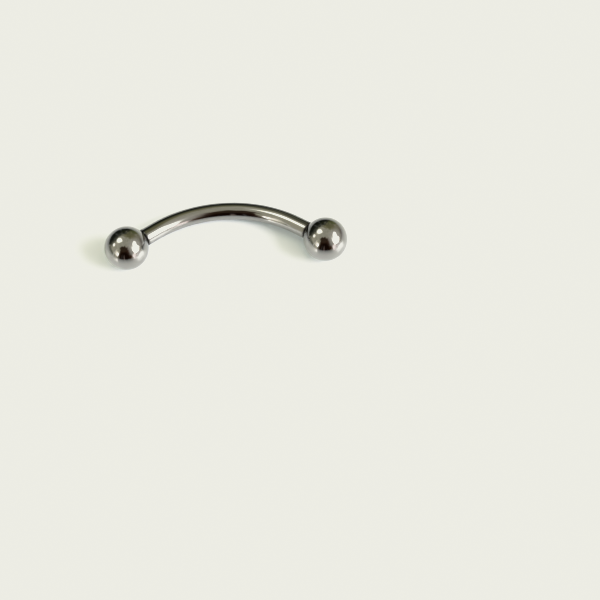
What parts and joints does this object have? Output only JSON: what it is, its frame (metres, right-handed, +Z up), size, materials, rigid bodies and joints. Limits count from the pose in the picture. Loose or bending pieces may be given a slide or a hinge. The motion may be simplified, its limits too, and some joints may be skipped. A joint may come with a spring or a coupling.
{
  "type": "curved piercing barbell",
  "caption": "Curved piercing barbell: a bent polished metal bar, threaded inside both ends, with a round ball on a threaded stud screwed into each end.",
  "frame": {"origin": "on the surface that the barbell lies on, below the centre of its box", "axes": "+X from the left ball to the right ball, +Y towards the crown of the bend, +Z up from the surface"},
  "size_m": [0.022, 0.0068, 0.004],
  "materials": {
    "bar_metal": "mirror polished titanium",
    "ball_metal": "mirror polished titanium"
  },
  "bodies": {
    "bar": {"bar": "bar_metal"},
    "left_ball": {"left_ball": "ball_metal"},
    "right_ball": {"right_ball": "ball_metal"}
  },
  "joints": [
    {"name": "left_ball_unscrew", "type": "slide", "parent": "bar", "child": "left_ball", "axis": [-0.788, -0.5905, 0.1744], "range_m": [0, 0.003]},
    {"name": "right_ball_unscrew", "type": "slide", "parent": "bar", "child": "right_ball", "axis": [0.788, -0.5905, 0.1744], "range_m": [0, 0.003]}
  ]
}
